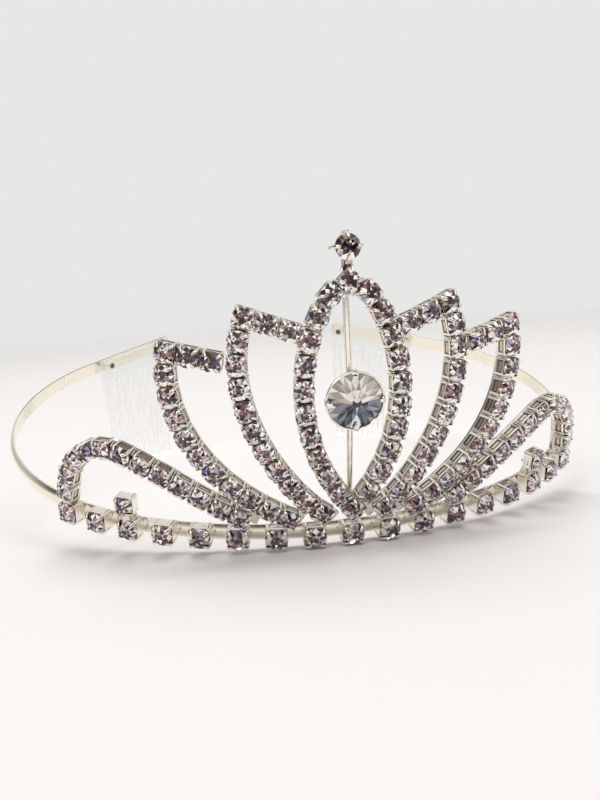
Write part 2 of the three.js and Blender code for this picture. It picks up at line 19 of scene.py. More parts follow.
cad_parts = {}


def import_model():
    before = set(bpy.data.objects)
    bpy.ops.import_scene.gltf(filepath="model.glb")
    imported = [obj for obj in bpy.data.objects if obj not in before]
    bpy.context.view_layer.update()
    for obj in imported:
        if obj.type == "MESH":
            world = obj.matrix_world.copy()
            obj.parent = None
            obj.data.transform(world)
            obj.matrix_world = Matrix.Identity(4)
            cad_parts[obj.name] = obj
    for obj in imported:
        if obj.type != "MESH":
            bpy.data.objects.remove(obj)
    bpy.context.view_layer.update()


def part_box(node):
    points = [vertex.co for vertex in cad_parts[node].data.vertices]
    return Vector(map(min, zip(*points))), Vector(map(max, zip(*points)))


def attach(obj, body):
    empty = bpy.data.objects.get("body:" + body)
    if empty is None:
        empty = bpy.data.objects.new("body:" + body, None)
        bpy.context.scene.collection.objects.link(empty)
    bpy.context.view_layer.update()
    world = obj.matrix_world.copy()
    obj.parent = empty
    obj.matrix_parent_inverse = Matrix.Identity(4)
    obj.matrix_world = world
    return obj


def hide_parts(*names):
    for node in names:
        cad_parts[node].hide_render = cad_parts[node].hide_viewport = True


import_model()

# --- Driving dimensions, as in the CAD ---

MM = 0.001

FRONT_RADIUS = 86
FRONT_ANGLE = math.radians(25)
SIDE_RADIUS = 60.4
TAIL_ANGLE = math.radians(139.5)
TAIL_LENGTH = 28
LEAN_SLOPE = 0.111
LEAN_CURL = 0.0039

CUP_SIZE = 3.9
CUP_DEPTH = 2.55
GAP = 0.08
RIBBON_WIDTH = 2.4
RIBBON_THICKNESS = 0.9
BAND_HEIGHT = 3.5
BAND_THICKNESS = 1.0

BASE_STONES = 17
BASE_PITCH = 7.53
MANDORLA_SIDE = [(0, 49.7), (6.9, 49.7), (17, 25.4), (0, 5.7)]
MANDORLA_SIDE_GAPS = 11
INNER_TOP = [(11.7, 41.5), (20.3, 44.2)]
INNER_SIDE = [(20.3, 44.2), (26, 27), (11.2, 9.2), (6.1, 5.3)]
OUTER_TOP = [(26.2, 36.3), (35.1, 37.7)]
OUTER_SIDE = [(35.1, 37.7), (36.6, 17.5), (17.6, 7), (12.6, 4.5)]
PETAL_TOP_GAPS = 2
PETAL_SIDE_GAPS = 10
LOOP = [(59.8, 5.4), (57.3, 11.9), (52, 16.5), (45.6, 16.9), (36.8, 13.2), (29, 8.8), (22, 4.9)]
LOOP_GAPS = 11
ACCENT_PLACE = (45.2, 5.6)
FINIAL_PLACE = (0, 55.6)
FINIAL_NECK_FOOT = 51.5
STEM_RADIUS = 0.62
STEM_TOP = 50.2
STEM_FOOT = 3.6
RIVOLI_PLACE = (0, 28.3)
RIVOLI_RADIUS = 5.2
RIVOLI_CROWN = 1.7
RIVOLI_BACK = 2.6

COMB_WIDTH = 26
COMB_START = 1.3
COMB_THICKNESS = 2.2
SPINE_DROP = 4.8
TEETH = 13
TOOTH_WIDTH = 1.25
TOOTH_TIP_WIDTH = 0.8
TOOTH_TIP_THICKNESS = 0.9
TOOTH_TIP_SPREAD = 0.86
RIVET_INSET = 2.6

RIBBON_FRONT = -2 * GAP - CUP_DEPTH
RIBBON_BACK = RIBBON_FRONT - RIBBON_THICKNESS
BAND_FRONT = RIBBON_FRONT
BAND_BACK = BAND_FRONT - BAND_THICKNESS
FRONT_LENGTH = FRONT_RADIUS * FRONT_ANGLE
SIDE_TURN = TAIL_ANGLE - FRONT_ANGLE
TAIL_START = FRONT_LENGTH + SIDE_RADIUS * SIDE_TURN
BAND_END = TAIL_START + TAIL_LENGTH
COMB_FRONT = BAND_BACK - GAP
COMB_BACK = COMB_FRONT - COMB_THICKNESS
COMB_MIDDLE = (COMB_FRONT + COMB_BACK) / 2

# The base and finial stones are larger here than in the CAD, and the base row stands higher.
BASE_SCALE = 1.12
BASE_LIFT = 0.1
FINIAL_SCALE = 1.19

# --- The stone sheet ---


def plan_point(distance):
    """The plan curve's point at a distance round the band, and its heading there."""
    side = -1 if distance < 0 else 1
    along = abs(distance)
    on_front = min(along, FRONT_LENGTH) / FRONT_RADIUS
    on_side = min(max((along - FRONT_LENGTH) / SIDE_RADIUS, 0), SIDE_TURN)
    on_tail = max(0, along - TAIL_START)
    heading = on_front + on_side
    x = FRONT_RADIUS * math.sin(on_front)
    y = FRONT_RADIUS * (1 - math.cos(on_front))
    x += SIDE_RADIUS * (math.sin(heading) - math.sin(on_front))
    y += SIDE_RADIUS * (math.cos(on_front) - math.cos(heading))
    x += on_tail * math.cos(heading)
    y += on_tail * math.sin(heading)
    return side * x, y, side * heading


def about_z(angle):
    return Matrix.Rotation(angle, 4, "Z")


def basis(x, y, z, origin):
    """The matrix with these three axes and this origin."""
    matrix = Matrix((x, y, z)).transposed().to_4x4()
    matrix.translation = origin
    return matrix


def sheet_frame(place, upright=False):
    """A frame on the sheet: x runs round the band, y runs up the sheet, z points out of it.

    An upright one leaves out the sheet's lean.
    """
    distance, height = place
    x, y, heading = plan_point(distance)
    out = Vector((math.sin(heading), -math.cos(heading), 0))
    round_band = Vector((math.cos(heading), math.sin(heading), 0))
    slope = 0 if upright else LEAN_SLOPE - 2 * LEAN_CURL * height
    shift = 0 if upright else LEAN_SLOPE * height - LEAN_CURL * height * height
    up = (Vector((0, 0, 1)) + out * slope).normalized()
    origin = Vector((x, y, height)) + out * shift
    return basis(round_band, up, round_band.cross(up), origin)


def tail_frame(side, along):
    return sheet_frame((side * (TAIL_START + along), 0), upright=True)


def box_centre(node):
    low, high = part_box(node)
    return (low + high) / 2


def standing_matrix():
    """The hoop's place in the row frame, read from two rivets of one comb."""
    near = box_centre("comb_rivet_right_near")
    run = box_centre("comb_rivet_right_far") - near
    tip = Matrix.Rotation(math.atan2(run.z, run.y), 4, "X") @ Matrix.Scale(MM, 4)
    depth = (BAND_FRONT + COMB_BACK) / 2
    hoop_point = tail_frame(1, COMB_START + RIVET_INSET) @ Vector((0, 0, depth))
    return Matrix.Translation(near - tip @ hoop_point) @ tip


STANDING = standing_matrix()

# --- Curves and seats ---

CURVE_SAMPLES = 240
CORNER_UP = math.pi / 4


def bezier_point(points, t):
    a, b, c, d = points
    s = 1 - t
    return a * s**3 + 3 * b * s * s * t + 3 * c * s * t * t + d * t**3


def spline_point(points, t):
    """A Catmull-Rom curve through all the points."""
    last = len(points) - 1
    spot = min(int(t * last), last - 1)
    t = t * last - spot
    before, start, end, after = (points[min(max(spot + k, 0), last)] for k in (-1, 0, 1, 2))
    into = (end - before) / 2
    away = (after - start) / 2
    cubic = (2 * start - 2 * end + into + away) * t**3
    return cubic + (3 * end - 3 * start - 2 * into - away) * t * t + into * t + start


def sampled(points):
    """The curve as many points: two give a line, four a Bezier curve, and more a spline."""
    corners = [Vector(point) for point in points]
    steps = [step / CURVE_SAMPLES for step in range(CURVE_SAMPLES + 1)]
    if len(corners) == 2:
        return [corners[0].lerp(corners[1], t) for t in steps]
    curve = bezier_point if len(corners) == 4 else spline_point
    return [curve(corners, t) for t in steps]


def evenly(points, gaps):
    """Points spaced evenly along the curve, each with the curve's direction there."""
    line = sampled(points)
    lengths = [0]
    for a, b in zip(line, line[1:]):
        lengths.append(lengths[-1] + (b - a).length)
    spot = 0
    found = []
    for step in range(gaps + 1):
        wanted = lengths[-1] * step / gaps
        while spot < len(line) - 2 and lengths[spot + 1] < wanted:
            spot += 1
        share = (wanted - lengths[spot]) / (lengths[spot + 1] - lengths[spot])
        direction = (line[spot + 1] - line[spot]).normalized()
        found.append((line[spot].lerp(line[spot + 1], share), direction))
    return found


class Seat:
    """A cup's place on the sheet and the angle of the chain there."""

    def __init__(self, place, angle, upright=False, scale=1):
        self.place = place
        self.angle = angle
        turn = about_z(angle) @ Matrix.Scale(scale, 4)
        self.frame = sheet_frame(place, upright) @ turn

    def mirrored(self):
        return Seat((-self.place[0], self.place[1]), -self.angle)


def seats_along(points, gaps):
    return [Seat(tuple(p), math.atan2(d.y, d.x)) for p, d in evenly(points, gaps)]


def petal_seats(top, side):
    return seats_along(top, PETAL_TOP_GAPS) + seats_along(side, PETAL_SIDE_GAPS)[1:]


def mandorla_seats():
    right = seats_along(MANDORLA_SIDE, MANDORLA_SIDE_GAPS)
    right[0] = Seat(right[0].place, CORNER_UP)
    right[-1] = Seat(right[-1].place, CORNER_UP)
    return right + [seat.mirrored() for seat in reversed(right[1:-1])]


def base_seats():
    middle = (BASE_STONES - 1) / 2
    places = [((i - middle) * BASE_PITCH, BASE_LIFT) for i in range(BASE_STONES)]
    return [Seat(place, 0, upright=True, scale=BASE_SCALE) for place in places]


# --- Meshes ---

WELD = 0.002


class Shape:
    """Points in millimetres, each with its place along the metal's grain, and the faces on them.

    Each face has a tone from 0 to 1, and on stones the direction in which its inside shines.
    """

    def __init__(self):
        self.points = []
        self.flow = []
        self.faces = []
        self.tones = []
        self.shines = []

    def add(self, points, faces, place=None, tones=None, shines=None, flow=None):
        first = len(self.points)
        place = place or Matrix.Identity(4)
        turn = (STANDING @ place).to_3x3().normalized()
        self.points.extend(place @ Vector(point) for point in points)
        self.flow.extend(flow or points)
        self.faces.extend([first + corner for corner in face] for face in faces)
        self.tones.extend(tones or [1.0] * len(faces))
        self.shines.extend((turn @ shine).normalized() for shine in shines or [])


def add_vectors(mesh, name, domain, vectors):
    attribute = mesh.attributes.new(name, "FLOAT_VECTOR", domain)
    attribute.data.foreach_set("vector", [value for vector in vectors for value in vector])


def scene_object(name, data):
    obj = bpy.data.objects.new(name, data)
    bpy.context.scene.collection.objects.link(obj)
    return obj


def make_piece(name, shape, material, node, smooth_under=None):
    """A piece that stands for a CAD node, with corners within WELD of each other joined."""
    mesh = bpy.data.meshes.new(name)
    mesh.from_pydata([STANDING @ point for point in shape.points], [], shape.faces)
    tone = mesh.attributes.new("tone", "FLOAT", "FACE")
    tone.data.foreach_set("value", shape.tones)
    if shape.shines:
        add_vectors(mesh, "shine", "FACE", shape.shines)
    add_vectors(mesh, "flow", "POINT", shape.flow)
    mesh.materials.append(material)
    welded = bmesh.new()
    welded.from_mesh(mesh)
    bmesh.ops.remove_doubles(welded, verts=welded.verts, dist=WELD * MM)
    bmesh.ops.recalc_face_normals(welded, faces=welded.faces)
    welded.to_mesh(mesh)
    welded.free()
    if smooth_under is not None:
        mesh.shade_smooth()
        mesh.set_sharp_from_angle(angle=math.radians(smooth_under))
    obj = scene_object(name, mesh)
    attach(obj, "root")
    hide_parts(node)
    return obj


def bevel(obj, width, segments, angle):
    modifier = obj.modifiers.new("rounded_edges", "BEVEL")
    modifier.width = width * MM
    modifier.segments = segments
    modifier.limit_method = "ANGLE"
    modifier.angle_limit = math.radians(angle)
    modifier.harden_normals = True


def ring_faces(rings, size, closed=False):
    """Quads between rings of one size, with a cap at each end of an open run."""
    faces = []
    for ring in range(rings if closed else rings - 1):
        here = ring * size
        there = ((ring + 1) % rings) * size
        for side in range(size):
            after = (side + 1) % size
            faces.append([here + side, here + after, there + after, there + side])
    if not closed:
        faces.append(list(range(size))[::-1])
        faces.append([(rings - 1) * size + side for side in range(size)])
    return faces


def swept_metal(name, points, flow, ring_size, material, node, smooth_under, closed=False):
    """A metal piece from rings of points that follow each other, smooth under an angle."""
    shape = Shape()
    shape.add(points, ring_faces(len(points) // ring_size, ring_size, closed), flow=flow)
    return make_piece(name, shape, material, node, smooth_under)


def polar(radius, angle, level):
    return (radius * math.cos(angle), radius * math.sin(angle), level)


def circle(count):
    return [2 * math.pi * step / count for step in range(count)]


def lathe(profile, sides):
    """A profile of (radius, level) points turned round z. Its ends are taken to lie on the axis."""
    rings = profile[1:-1]
    points = [polar(radius, angle, level) for radius, level in rings for angle in circle(sides)]
    start = len(points)
    points += [(0, 0, profile[0][1]), (0, 0, profile[-1][1])]
    faces = ring_faces(len(rings), sides)[:-2]
    last_ring = start - sides
    for side in range(sides):
        after = (side + 1) % sides
        faces.append([start, after, side])
        faces.append([start + 1, last_ring + side, last_ring + after])
    return points, faces


def with_mirror(half):
    """The outline's points and then their mirror images, back to the start."""
    return half + [(-across, level) for across, level in reversed(half)]


def lerp(start, end, share):
    return start + (end - start) * share


# --- Cut crystals ---

TILT_SCATTER = 0.13


@dataclass
class Cut:
    """A stone's rings from the middle of its face to its girdle, its crown and its depth behind.

    Its face is level out to the radius called flat.
    """

    facets: int
    flat: float
    heart: float
    table: float
    middle: float
    radius: float
    crown: float
    girdle: float
    depth: float
    look: Callable


# How far the light's return leans away from the axis in each ring of facets, middle to girdle,
# and the darkest and lightest tone there.
CHATON_TILTS = (-0.3, 0.34, -0.12, -0.34, 0.24, -0.2)
CHATON_TONES = ((0.0, 0.42), (0.0, 0.66), (0.08, 0.92), (0.0, 0.9), (0.12, 0.99), (0.2, 1.0))

# A facet's lift says how far up it looks, from -1 to 1. A share of the lowest ones flash: their lean
# gives a real reflection of something bright, and their tone is raised to a painted highlight.
FLASH_LIFT = -0.84
FLASH_HIGHLIGHT_TONE = 0.81
FLASH_SHARE = 0.7
STRAND_FLASH_RING = 3
STRAND_FLASH_TILT = 0.45
BASE_FLASH_RING = 1
BASE_FLASH_TILT = -1.1


def chaton_look(rng, ring, lift, flash_ring=STRAND_FLASH_RING, flash_tilt=STRAND_FLASH_TILT):
    """A small facet's tone and lean. Facets on the stone's lower side flash back white: a real
    reflection through their lean, brightened by a painted highlight in their tone.
    """
    low, high = CHATON_TONES[ring]
    tone = rng.uniform(low, high)
    flashes = rng.random() < FLASH_SHARE
    if ring >= flash_ring and lift < FLASH_LIFT and flashes:
        return max(tone, FLASH_HIGHLIGHT_TONE), flash_tilt
    return tone, CHATON_TILTS[ring]


def base_look(rng, ring, lift):
    """The base stones sit too low to see a bright floor, so their flash leans up to a lamp."""
    return chaton_look(rng, ring, lift, BASE_FLASH_RING, BASE_FLASH_TILT)


# The big stone's facets are dark below their ring's horizon, as painted shade, and pale above it, as
# painted light.
RIVOLI_TILTS = (-0.22, -0.3, -0.16, -0.24, -0.12, -0.3)
RIVOLI_UPPER_LIT = ((0.62, 0.9), (0.66, 0.97), (0.62, 0.94), (0.5, 0.86), (0.46, 0.84), (0.4, 0.9))
RIVOLI_LOWER_SHADED = ((0.0, 0.1), (0.04, 0.28), (0.06, 0.34), (0.06, 0.34), (0.1, 0.4), (0.2, 0.8))
RIVOLI_HORIZONS = (0.6, -0.05, -0.05, -0.05, -0.05, -0.05)
# The streak: the lowest facets are painted white as a highlight.
STREAK_LIFT = -0.97
STREAK_TILT = 0.3


def rivoli_look(rng, ring, lift):
    """The big stone's lower half is painted dark as shade but for a bright streak, a painted highlight,
    and its upper half is painted pale as light.
    """
    if ring and lift < STREAK_LIFT:
        return 1.0, STREAK_TILT
    low, high = (RIVOLI_LOWER_SHADED if lift < RIVOLI_HORIZONS[ring] else RIVOLI_UPPER_LIT)[ring]
    return rng.uniform(low, high), RIVOLI_TILTS[ring]


def face_level(cut, radius, between_facets):
    """The level of the stone's face at a radius: flat out to its table, then down to its girdle."""
    reach = radius * math.cos(math.pi / cut.facets) if between_facets else radius
    fall = max(0, reach - cut.flat) / (cut.radius - cut.flat)
    return cut.crown * (1 - fall)


def stone_face(cut):
    """The corners of a stone's face and its facets, each with the number of its ring."""
    count = cut.facets
    half_step = math.pi / count
    points = [(0, 0, cut.crown)]
    for radius, offset in ((cut.heart, half_step), (cut.table, 0), (cut.middle, half_step)):
        level = face_level(cut, radius, between_facets=offset > 0)
        points += [polar(radius, angle + offset, level) for angle in circle(count)]
    points += [polar(cut.radius, angle, 0) for angle in circle(2 * count)]
    heart, table, middle, rim = 1, 1 + count, 1 + 2 * count, 1 + 3 * count
    facets = []
    for k in range(count):
        after = (k + 1) % count
        before = (k - 1) % count
        facets += [
            (0, [0, heart + before, heart + k]),
            (1, [heart + k, table + k, table + after]),
            (2, [heart + before, table + k, heart + k]),
            (3, [table + k, middle + k, table + after]),
            (4, [table + k, middle + before, rim + 2 * k]),
            (4, [table + k, rim + 2 * k, middle + k]),
            (5, [middle + k, rim + 2 * k, rim + 2 * k + 1]),
            (5, [middle + k, rim + 2 * k + 1, rim + (2 * k + 2) % (2 * count)]),
        ]
    return points, facets


def add_stone(shape, rng, place, cut):
    """A closed cut stone. Each facet has a tone and the direction in which its inside shines."""
    points, facets = stone_face(cut)
    sides = 2 * cut.facets
    rim = len(points) - sides
    back_rim = len(points)
    points += [polar(cut.radius, angle, -cut.girdle) for angle in circle(sides)]
    culet = len(points)
    points.append((0, 0, -cut.girdle - cut.depth))
    axis = Vector((0, 0, 1))
    faces = []
    tones = []
    shines = []
    turn = (STANDING @ place).to_3x3().normalized()
    for ring, face in facets:
        centre = sum((Vector(points[corner]) for corner in face), Vector()) / len(face)
        outward = Vector((centre.x, centre.y, 0)).normalized()
        scatter = Vector((rng.gauss(0, TILT_SCATTER), rng.gauss(0, TILT_SCATTER), 0))
        tone, tilt = cut.look(rng, ring, (turn @ outward).z)
        faces.append(face)
        tones.append(tone)
        shines.append(axis + outward * tilt + scatter)
    for k in range(sides):
        after = (k + 1) % sides
        outward = Vector(polar(1, math.pi * (k + 0.5) / cut.facets, 0))
        faces.append([rim + k, back_rim + k, back_rim + after, rim + after])
        faces.append([back_rim + k, culet, back_rim + after])
        tones.extend([rng.random(), rng.random()])
        shines.extend([outward, outward - axis])
    shape.add(points, faces, place, tones=tones, shines=shines)


def chaton(look):
    """The small round stone's cut: eight facets to a ring, round a level table."""
    return Cut(
        facets=8,
        flat=1.12,
        heart=0.52,
        table=1.12,
        middle=1.62,
        radius=2.03,
        crown=0.86,
        girdle=0.12,
        depth=1.6,
        look=look,
    )


def crystals(name, seats, node, look=chaton_look):
    rng = random.Random(name)
    shape = Shape()
    for seat in seats:
        spin = about_z(rng.uniform(0, 2 * math.pi))
        add_stone(shape, rng, seat.frame @ spin, chaton(look))
    make_piece(name, shape, crystal, node)


# --- Cups, claws and links ---

CUP_HALF = 1.84
CUP_RIM = -0.42
CUP_FLOOR = -GAP - CUP_DEPTH
CUP_WALL = 0.22
CUP_WELL = -2.05
PANEL_MARGIN = 0.42
PANEL_SLOPE = 0.07
PAD_MARGIN = 0.4
PAD_DEPTH_SHARE = 0.35


@dataclass
class Wall:
    """A cup wall's look: the depth of the moat in it, and how bright each part of it is painted.

    The tones are for its frame, the slope, floor and inner slope of its moat, and its pad. The darker
    moat is painted shade.
    """

    depth: float
    tones: tuple


# Chain cups have painted shade in the slopes and floor of their moats; lone cups are nearly even.
CHAIN_WALL = Wall(0.2, (1.0, 0.3, 0.15, 0.45, 0.7))
LONE_WALL = Wall(0.02, (1.0, 0.95, 0.95, 0.95, 1.0))

# The claw's centre line on the cup's diagonal: radius, level, width and thickness.
CLAW_LINE = [
    (2.3, CUP_FLOOR + 0.1, 0.8, 0.36),
    (2.36, -1.3, 0.8, 0.36),
    (2.37, -0.5, 0.76, 0.32),
    (2.34, -0.05, 0.7, 0.28),
    (2.22, 0.26, 0.64, 0.26),
    (1.98, 0.52, 0.58, 0.24),
    (1.7, 0.74, 0.5, 0.22),
    (1.46, 0.9, 0.4, 0.2),
    (1.32, 0.96, 0.24, 0.14),
]
CLAW_SECTION = [
    (-0.5, -0.5),
    (-0.5, 0.05),
    (-0.3, 0.42),
    (0, 0.5),
    (0.3, 0.42),
    (0.5, 0.05),
    (0.5, -0.5),
]


def wall_ring(margin, depth):
    """A rectangle on the cup's +x wall, set in from its edges and sunk below its face."""
    x = CUP_HALF - depth
    side = CUP_HALF - margin
    low = CUP_FLOOR + margin
    high = CUP_RIM - margin
    return [(x, -side, low), (x, side, low), (x, side, high), (x, -side, high)]


def add_cup_wall(shape, place, wall):
    """A wall's face, made of rings that lie one inside the other, with its rim and inner face."""
    margin = PANEL_MARGIN
    rings = [
        wall_ring(0, 0),
        wall_ring(margin, 0),
        wall_ring(margin + PANEL_SLOPE, wall.depth),
        wall_ring(margin + PAD_MARGIN, wall.depth),
        wall_ring(margin + PAD_MARGIN + PANEL_SLOPE, wall.depth * PAD_DEPTH_SHARE),
    ]
    faces = ring_faces(len(rings), 4)
    faces.remove([3, 2, 1, 0])
    tones = [tone for tone in wall.tones[:-1] for _ in range(4)] + [wall.tones[-1]]
    shape.add([point for ring in rings for point in ring], faces, place, tones=tones)
    inner = CUP_HALF - CUP_WALL
    rim = [
        (CUP_HALF, -CUP_HALF, CUP_RIM),
        (CUP_HALF, CUP_HALF, CUP_RIM),
        (inner, inner, CUP_RIM),
        (inner, -inner, CUP_RIM),
        (inner, inner, CUP_WELL),
        (inner, -inner, CUP_WELL),
    ]
    shape.add(rim, [[0, 1, 2, 3], [3, 2, 4, 5]], place)


def add_claw(shape, place, line):
    """A domed claw swept along a line of (radius, level, width, thickness) over the x axis."""
    points = []
    for spot, (radius, level, width, thickness) in enumerate(line):
        before = line[max(spot - 1, 0)]
        after = line[min(spot + 1, len(line) - 1)]
        run = Vector((after[0] - before[0], 0, after[1] - before[1])).normalized()
        out = Vector((run.z, 0, -run.x))
        centre = Vector((radius, 0, level))
        for across, rise in CLAW_SECTION:
            points.append(centre + out * (rise * thickness) + Vector((0, across * width, 0)))
    shape.add(points, ring_faces(len(line), len(CLAW_SECTION)), place)


def add_cup(shape, place, snug, wall):
    """A cup with its claws. A snug one has its walls drawn in under the stone."""
    walls = place @ Matrix.Diagonal((snug, snug, 1, 1))
    for angle in circle(4):
        add_cup_wall(shape, walls @ about_z(angle), wall)
        add_claw(shape, place @ about_z(angle + CORNER_UP), CLAW_LINE)
    square = [(1, 1), (-1, 1), (-1, -1), (1, -1)]
    inner = CUP_HALF - CUP_WALL
    shape.add([(x * inner, y * inner, CUP_WELL) for x, y in square], [[0, 1, 2, 3]], walls)
    shape.add([(x * CUP_HALF, y * CUP_HALF, CUP_FLOOR) for x, y in square], [[3, 2, 1, 0]], walls)


LINK_WIDTH = 1.3
LINK_THICKNESS = 0.55
FIN_THICKNESS = 0.2
FIN_SIDE = [(-1.72, -2.55), (-1.98, -1.9), (-1.92, -1.1), (-1.6, -0.42), (-1.3, -0.36)]
FIN_OUTLINE = with_mirror(FIN_SIDE + [(-1.02, -0.9), (-0.6, -1.5)])


def between(a, b):
    """A frame midway between two seats, x towards the second, and the distance between them."""
    run = b.translation - a.translation
    x = run.normalized()
    z = (a.col[2].to_3d() + b.col[2].to_3d()).normalized()
    y = z.cross(x).normalized()
    middle = (a.translation + b.translation) / 2
    return basis(x, y, x.cross(y), middle), run.length


def add_box(shape, place, low, high):
    corners = list(product(*zip(low, high)))
    faces = [[0, 1, 3, 2], [4, 6, 7, 5], [0, 4, 5, 1], [2, 3, 7, 6], [0, 2, 6, 4], [1, 5, 7, 3]]
    shape.add(corners, faces, place)


def add_link(shape, a, b):
    """The strap under two neighbouring cups and the leaf-shaped fin that stands between them."""
    place, length = between(a, b)
    reach = length / 2 - CUP_HALF + CUP_WALL / 2
    low = (-reach, -LINK_WIDTH / 2, CUP_FLOOR)
    high = (reach, LINK_WIDTH / 2, CUP_FLOOR + LINK_THICKNESS)
    add_box(shape, place, low, high)
    fin = [(x, y, z) for x in (-FIN_THICKNESS / 2, FIN_THICKNESS / 2) for y, z in FIN_OUTLINE]
    shape.add(fin, ring_faces(2, len(FIN_OUTLINE)), place)


def cups(name, seats, node, closed=False, linked=True, snug=1):
    shape = Shape()
    for seat in seats:
        add_cup(shape, seat.frame, snug, CHAIN_WALL if linked else LONE_WALL)
    following = seats[1:] + (seats[:1] if closed else [])
    for a, b in zip(seats, following if linked else []):
        add_link(shape, a.frame, b.frame)
    obj = make_piece(name, shape, silver, node, smooth_under=40)
    bevel(obj, width=0.06, segments=2, angle=40)


# --- Ribbons ---

RIBBON_PITCH = 1.2
EDGE_ROLL = 0.09
GROOVE = 0.11
EDGE_GROOVES = (0.3, 0.7)
BACK_GROOVE = 0.5
MITRE_LIMIT = 0.5
RIBBON_SMOOTH = 35


def ribbon_profile():
    """The ribbon's section: rolled corners, two grooves in each edge and two in the back."""
    edge = RIBBON_WIDTH / 2
    thick = RIBBON_THICKNESS
    steps = [(edge - EDGE_ROLL, 0), (edge, EDGE_ROLL)]
    for share in EDGE_GROOVES:
        depth = share * thick
        steps += [(edge, depth - GROOVE), (edge - GROOVE, depth), (edge, depth + GROOVE)]
    steps += [(edge, thick - EDGE_ROLL), (edge - EDGE_ROLL, thick)]
    across = BACK_GROOVE * edge
    steps += [(across + GROOVE, thick), (across, thick - GROOVE), (across - GROOVE, thick)]
    return with_mirror([(across, RIBBON_FRONT - depth) for across, depth in steps])


def ribbon_line(runs):
    """Points along the runs, about a ribbon pitch apart, with the corners between runs kept."""
    line = []
    for points in runs:
        curve = sampled(points)
        length = sum((b - a).length for a, b in zip(curve, curve[1:]))
        found = [point for point, _ in evenly(points, max(2, round(length / RIBBON_PITCH)))]
        line.extend(found[1:] if line else found)
    return line


def footed_on_band(line):
    """Runs the line's last stretch on until its lower edge meets the top of the band."""
    end = line[-1]
    tangent = (end - line[-2]).normalized()
    edge_drop = RIBBON_WIDTH / 2 * abs(tangent.x)
    drop = end.y - BAND_HEIGHT / 2 - 2 * GAP - edge_drop
    return line + [end + tangent * (drop / -tangent.y)]


def ribbon(name, line, node, mirror=1, closed=False):
    """A strip along the line. Its corners are mitred, and the sharpest ones are cut short."""
    profile = ribbon_profile()
    last = len(line) - 1
    points = []
    flow = []
    travelled = 0
    for spot, point in enumerate(line):
        before = line[spot - 1] if spot or closed else point
        after = line[(spot + 1) % len(line)] if spot < last or closed else point
        into = (point - before if before is not point else after - point).normalized()
        away = (after - point).normalized() if after is not point else into
        heading = (into + away).normalized()
        side = Vector((-heading.y, heading.x)) / max(heading.dot(into), MITRE_LIMIT)
        travelled += (point - before).length if spot else 0
        for across, depth in profile:
            edge = point + side * across
            place = sheet_frame((mirror * edge.x, edge.y))
            points.append(place @ Vector((0, 0, depth)))
            flow.append((travelled, across, depth))
    swept_metal(name, points, flow, len(profile), ribbon_silver, node, RIBBON_SMOOTH, closed)


# --- Strands ---


def strand(name, seats, line, mirror=1, closed=False):
    crystals(f"{name}_crystals", seats, f"{name}_stones")
    cups(f"{name}_cups", seats, f"{name}_cup_chain", closed)
    ribbon(f"{name}_backing", line, f"{name}_ribbon", mirror, closed)


def strand_pair(name, seats, line):
    strand(f"{name}_right", seats, line)
    strand(f"{name}_left", [seat.mirrored() for seat in seats], line, mirror=-1)


def mandorla():
    right = ribbon_line([MANDORLA_SIDE])
    left = [Vector((-point.x, point.y)) for point in reversed(right[1:-1])]
    strand("mandorla", mandorla_seats(), right + left, closed=True)


def petals(name, top, side):
    line = footed_on_band(ribbon_line([top, side]))
    line[0] = line[0] - Vector((CUP_SIZE / 2, 0))
    strand_pair(f"{name}_petal", petal_seats(top, side), line)


def side_loops():
    line = footed_on_band(footed_on_band(ribbon_line([LOOP]))[::-1])
    strand_pair("side_loop", seats_along(LOOP, LOOP_GAPS), line)


def base_row():
    seats = base_seats()
    crystals("base_crystals", seats, "base_stones", base_look)
    cups("base_cups", seats, "base_cup_chain", linked=False)


# --- Lone stones on necks ---

NECK_STEPS = 10
NECK_SIDES = 12
NECK_FLARE = 0.45
NECK_FLARE_POWER = 3
NECK_ROUND = 0.8
FINIAL_SNUG = 0.8
FINIAL_NECK_WIDTH = 2.1
FINIAL_NECK_DEPTH = -1.6
ACCENT_NECK_WIDTH = 1.6


def squared_off(value):
    """A sine or cosine pushed outwards, so that a circle becomes a rounded oblong."""
    return math.copysign(abs(value) ** NECK_ROUND, value)


def neck(name, seat, foot, width, depth, node):
    """A flat stalk behind a lone cup that flares where it is soldered at its foot and head."""
    height = seat.place[1]
    top = height - CUP_SIZE / 4
    place = sheet_frame(seat.place)
    points = []
    flow = []
    for step in range(NECK_STEPS + 1):
        share = step / NECK_STEPS
        level = lerp(foot, top, share)
        flare = 1 + NECK_FLARE * abs(2 * share - 1) ** NECK_FLARE_POWER
        for angle in circle(NECK_SIDES):
            across = squared_off(math.cos(angle)) * width / 2
            behind = depth + squared_off(math.sin(angle)) * RIBBON_THICKNESS / 2
            points.append(place @ Vector((across * flare, level - height, behind)))
            flow.append((level, across, behind))
    swept_metal(name, points, flow, NECK_SIDES, ribbon_silver, node, smooth_under=50)


def lone_stone(name, seat, foot, width, depth, snug=1):
    crystals(f"{name}_crystal", [seat], f"{name}_stone")
    cups(f"{name}_setting", [seat], f"{name}_cup", linked=False, snug=snug)
    neck(f"{name}_stalk", seat, foot, width, depth, f"{name}_neck")


def finial():
    seat = Seat(FINIAL_PLACE, CORNER_UP, scale=FINIAL_SCALE)
    lone_stone("finial", seat, FINIAL_NECK_FOOT, FINIAL_NECK_WIDTH, FINIAL_NECK_DEPTH, FINIAL_SNUG)


def accents():
    right = Seat(ACCENT_PLACE, 0)
    foot = BAND_HEIGHT / 2 + 2 * GAP
    depth = (RIBBON_FRONT + RIBBON_BACK) / 2
    lone_stone("accent_right", right, foot, ACCENT_NECK_WIDTH, depth)
    lone_stone("accent_left", right.mirrored(), foot, ACCENT_NECK_WIDTH, depth)


# --- Stem and centre stone ---

STEM_SIDES = 20
STEM_STEPS = 40


